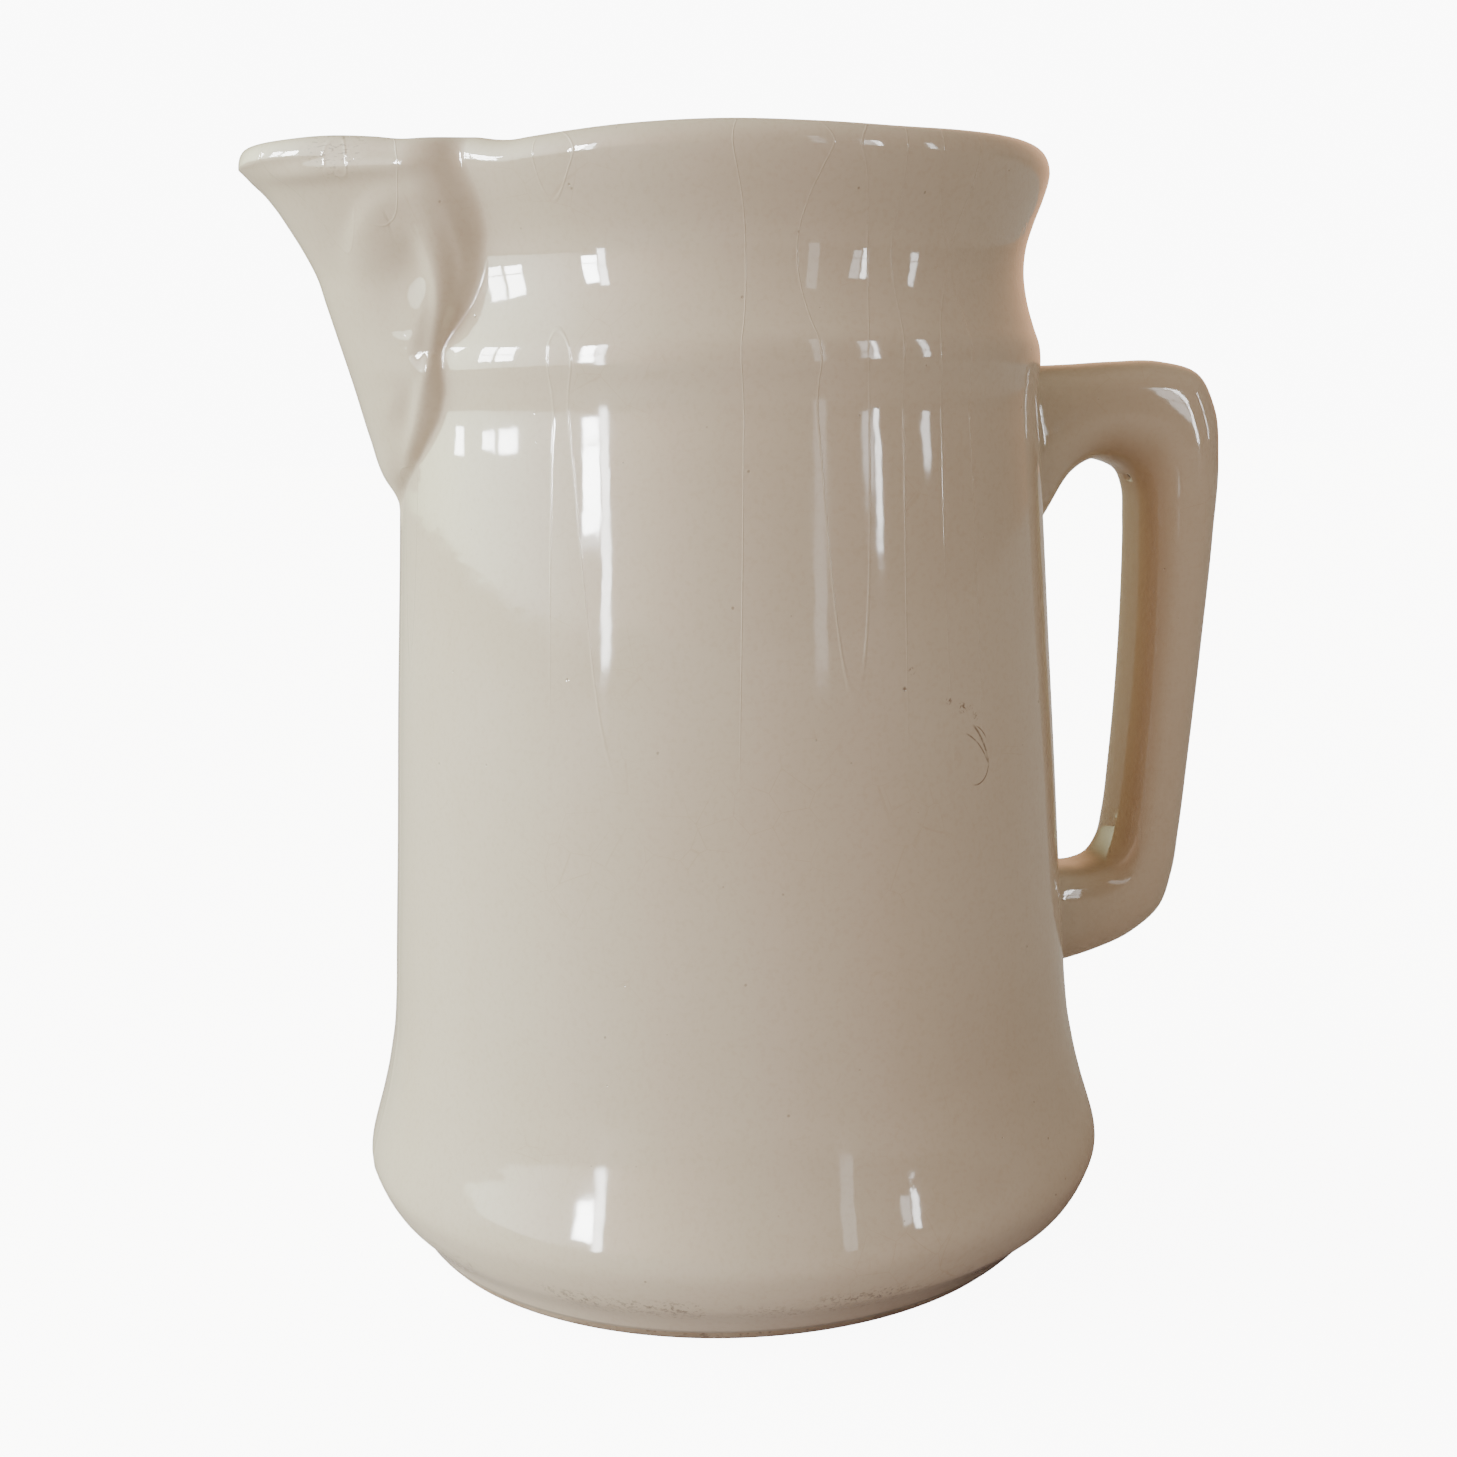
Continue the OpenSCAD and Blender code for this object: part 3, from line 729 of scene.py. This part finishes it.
def glaze(name, on_handle):
    """The cream glaze, either the handle's or the skin's."""
    material, tree, shader = new_material(name)
    at = place(tree)
    up = height_above(tree, at)
    clouds = noise(tree, at, 18.0, 3.0)
    hanging = noise(tree, stretched(tree, at, (1, 1, 0.09)), 60.0, 3.0)
    colour = mixed(tree, ranged(tree, clouds, 0.3, 0.8, 0.15, 0.6), CREAM, CREAM_WARM)
    colour = mixed(tree, ranged(tree, hanging, 0.5, 0.75, 0.0, 0.25), colour, CREAM_WARM)
    grain = noise(tree, at, 900.0, 2.0)
    colour = mixed(tree, ranged(tree, grain, 0.45, 0.75, 0.0, 0.10), colour, STAIN_AND_SHADE)

    # Painted shade: the whole handle darker and warmer, its loop's inner side partly stained and
    # partly shaded, and the skin's creases darker
    if on_handle:
        # Painted shade over the whole handle
        colour = mixed(tree, HANDLE_SHADE, colour, CREAM_SHADE)
        # Stain and painted shade on the loop's inner side
        colour = over(tree, colour, attribute(tree, "inner_side"), INNER_STAIN_AND_SHADE, STAIN_AND_SHADE)
        colour = over(tree, colour, attribute(tree, "seam"), SEAM_STAIN, STAIN_AND_SHADE)
        # Near black painted shade inside the vent hole
        inside_vent = tuple((Vector(VENT_AT) + VENT_WAY * VENT_SHADE_AT) * MM)
        dark = ball(tree, at, inside_vent, VENT_SHADE_R * MM, VENT_SHADE_SOFT * MM)
        colour = mixed(tree, dark, colour, VENT_SHADE)
    else:
        # Painted shade in the creases and the relief's hollows
        colour = over(tree, colour, attribute(tree, "crease"), CREASE_SHADE, CREAM_SHADE)
    colour = mixed(tree, crazing(tree, at), colour, STAIN_AND_SHADE)

    fine = specks(tree, at, 260.0, 0.11, 0.16)
    colour = over(tree, colour, fine, FINE_SPECKS, SPECK)
    coarse = specks(tree, stretched(tree, at, (1, 1, 1), (0.05, 0.02, 0.07)), 75.0, 0.055, 0.14)
    colour = over(tree, colour, coarse, COARSE_SPECKS, SPECK)
    shine = ranged(tree, noise(tree, at, 48.0, 4.0), 0.3, 0.75, 0.03, 0.085)
    if not on_handle:
        worn = grime_share(tree, at, up)
        colour = over(tree, colour, worn, GRIME, DIRT)
        colour = over(tree, colour, scuff_share(tree, at), SCUFF, DIRT)
        colour = over(tree, colour, rub_share(tree, at), RUB, SPECK)
        shine = maths(tree, "ADD", shine, maths(tree, "MULTIPLY", worn, GRIME_ROUGHNESS))
    tree.links.new(colour, shader.inputs["Base Color"])
    tree.links.new(shine, shader.inputs["Roughness"])
    shader.inputs["IOR"].default_value = GLAZE_IOR
    pinholes = maths(tree, "ADD", fine, coarse)
    bumped(tree, shader, glaze_height(tree, at, up, pinholes))
    return material


def bare_clay():
    """The unglazed clay of the ring that the jug stands on."""
    material, tree, shader = new_material("bare_clay")
    at = place(tree)
    blotches = ranged(tree, noise(tree, at, 60.0, 4.0), 0.3, 0.7)
    colour = mixed(tree, blotches, CLAY, CLAY_DARK)
    soil = ranged(tree, noise(tree, at, 700.0, 3.0), 0.55, 0.7, 0.0, 0.6)
    colour = mixed(tree, soil, colour, DIRT)
    tree.links.new(colour, shader.inputs["Base Color"])
    shader.inputs["Roughness"].default_value = CLAY_ROUGHNESS
    bumped(tree, shader, maths(tree, "MULTIPLY", noise(tree, at, 1400.0, 4.0), GRIT_MM))
    return material


# ---- Camera, floor and light ----

# Where the camera is, in metres, and how far it turns, dips and rolls
CAMERA_AT = Vector((-0.1234, -0.4302, 0.1938))
CAMERA_TURN = math.radians(-16.1)
CAMERA_DIP = math.radians(9.47)
CAMERA_ROLL = math.radians(-1.14)
CAMERA_LENS, CAMERA_SENSOR = 46.46, 36


def add_camera():
    data = bpy.data.cameras.new("camera")
    data.sensor_width = CAMERA_SENSOR
    data.lens = CAMERA_LENS
    data.clip_start = 0.01
    camera = bpy.data.objects.new("camera", data)
    bpy.context.scene.collection.objects.link(camera)
    camera.location = CAMERA_AT
    forward = Vector((-math.sin(CAMERA_TURN) * math.cos(CAMERA_DIP),
                      math.cos(CAMERA_TURN) * math.cos(CAMERA_DIP), -math.sin(CAMERA_DIP)))
    camera.rotation_euler = forward.to_track_quat("-Z", "Y").to_euler()
    camera.rotation_euler.rotate_axis("Z", CAMERA_ROLL)
    bpy.context.scene.camera = camera


# How bright the plain backdrop looks: the floor, and how much more the air above it
BACKDROP, BACKDROP_AIR = 9.0, 0.9
FLOOR_HALF = 8.0
# What the floor reflects on to the jug, and what it looks like itself
FLOOR_TINT, FLOOR_PALE = (0.40, 0.35, 0.36, 1), (0.9, 0.9, 0.9, 1)


def backdrop_shader(tree, lit, seen):
    """The lit shader for light that falls on the jug, and the seen one for the picture itself."""
    straight = add_node(tree, "LightPath").outputs["Is Camera Ray"]
    return add_node(tree, "MixShader", {0: straight, 1: lit, 2: seen}).outputs["Shader"]


def add_floor():
    """A wide pale floor under the jug."""
    mesh = bpy.data.meshes.new("stage_floor")
    half = FLOOR_HALF
    mesh.from_pydata([(-half, -half, 0), (half, -half, 0), (half, half, 0), (-half, half, 0)],
                     [], [(0, 1, 2, 3)])
    floor = bpy.data.objects.new("stage_floor", mesh)
    bpy.context.scene.collection.objects.link(floor)
    material, tree, shader = new_material("stage_pale")
    shader.inputs["Base Color"].default_value = FLOOR_TINT
    shader.inputs["Roughness"].default_value = 1.0
    pale = add_node(tree, "BsdfDiffuse", {"Color": FLOOR_PALE}).outputs["BSDF"]
    glow = add_node(tree, "Emission", {"Color": (1, 1, 1, 1), "Strength": BACKDROP})
    seen = add_node(tree, "AddShader", {0: pale, 1: glow.outputs["Emission"]}).outputs["Shader"]
    tree.links.new(backdrop_shader(tree, shader.outputs["BSDF"], seen),
                   tree.nodes["Material Output"].inputs["Surface"])
    mesh.materials.append(material)


# Soft light from each side of the room: azimuth, elevation and strength. Most of it is daylight
# from beyond the spout; what comes back from the room is dimmer and warmer
SOFT_LIGHTS = [
    (150, 12, (5.6, 6.4, 4.2)), (180, 12, (5.0, 5.8, 6.1)), (-150, 12, (2.1, 1.1, 0.7)),
    (-15, 12, (0.36, 0.29, 0.26)), (55, 20, (1.6, 0.9, 0.5)), (-60, 60, (0.88, 0.79, 0.59))]
# The power of the cosine by which each fades: more is narrower
SOFT_LIGHT_FOCUS = 6.0


def add_world():
    """A soft room: each light fades away from its own direction."""
    world = bpy.data.worlds.new("studio")
    bpy.context.scene.world = world
    world.use_nodes = True
    tree = world.node_tree
    way = add_node(tree, "TexCoord").outputs["Generated"]
    total = None
    for turn, rise, colour in SOFT_LIGHTS:
        turn, rise = math.radians(turn), math.radians(rise)
        centre = (math.cos(turn) * math.cos(rise), math.sin(turn) * math.cos(rise), math.sin(rise))
        facing = add_node(tree, "VectorMath", {0: way, 1: centre},
                          operation="DOT_PRODUCT").outputs["Value"]
        share = maths(tree, "POWER", maths(tree, "MAXIMUM", facing, 0.0), SOFT_LIGHT_FOCUS)
        glow = add_node(tree, "Background",
                        {"Color": (*colour, 1), "Strength": share}).outputs["Background"]
        if total is None:
            total = glow
        else:
            total = add_node(tree, "AddShader", {0: total, 1: glow}).outputs["Shader"]
    seen = add_node(tree, "Background", {"Color": (1, 1, 1, 1),
                                         "Strength": BACKDROP + BACKDROP_AIR})
    tree.links.new(backdrop_shader(tree, total, seen.outputs["Background"]),
                   tree.nodes["World Output"].inputs["Surface"])


# How far away the window panes stand, in metres. Each is: azimuth and width in degrees, the
# heights of its sill, bar and top in metres, and how bright
PANES_AWAY = 3.0
PANES = [
    (-150.2, 5.4, 0.27, 0.56, 1.25, 1.0), (-145.6, 2.8, 0.04, 0.66, 1.35, 0.35),
    (169.0, 6.5, 0.43, 0.72, 1.25, 0.50), (178.0, 8.0, 0.43, 0.72, 1.25, 0.65),
    (-55.6, 3.6, 0.27, 0.56, 1.25, 0.05), (-52.0, 2.2, 0.20, 0.56, 1.25, 0.22),
    (-31.0, 3.0, 0.30, 0.60, 1.25, 0.10), (-73.0, 4.0, 0.02, 0.60, 1.60, 0.02),
    (153.0, 5.0, 0.35, 0.60, 1.25, 0.40)]
# Watts to the square metre of the brightest one, and the height of each one's bar
PANE_POWER = 520.0
PANE_BAR = 0.03
PANE_COLOUR = (0.95, 0.98, 1.0)


def add_panes():
    """Window panes that only the glaze's shine shows."""
    for number, (turn, wide, low, middle, high, bright) in enumerate(PANES):
        width = 2 * PANES_AWAY * math.tan(math.radians(wide / 2))
        out = Vector((math.cos(math.radians(turn)), math.sin(math.radians(turn)), 0))
        lights = ((low, middle - PANE_BAR / 2), (middle + PANE_BAR / 2, high))
        for part, (bottom, top) in enumerate(lights):
            name = f"pane_{number}_{part}"
            data = bpy.data.lights.new(name, "AREA")
            data.shape = "RECTANGLE"
            data.size, data.size_y = width, top - bottom
            data.energy = PANE_POWER * bright * width * (top - bottom)
            data.color = PANE_COLOUR
            light = bpy.data.objects.new(name, data)
            bpy.context.scene.collection.objects.link(light)
            light.visible_camera = False
            light.visible_diffuse = False
            light.location = out * PANES_AWAY + Vector((0, 0, (bottom + top) / 2))
            light.rotation_euler = (-out).to_track_quat("-Z", "Y").to_euler()


skin = jug_skin()
handle = handle_mesh()
cut_vent(handle)
ring = foot_ring_mesh()
body_glaze = glaze("cream_glaze", False)
handle_glaze = glaze("cream_glaze_handle", True)
for piece, material in ((skin, body_glaze), (handle, handle_glaze), (ring, bare_clay())):
    piece.data.materials.clear()
    piece.data.materials.append(material)
    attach(piece, "root")
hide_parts("foot_flare", "body", "neck", "floor", "spout", "spout_scroll_left", "spout_scroll_right")
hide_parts("handle", "handle_slip_top", "handle_slip_bottom")
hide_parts("foot_ring")

add_camera()
add_floor()
add_world()
add_panes()
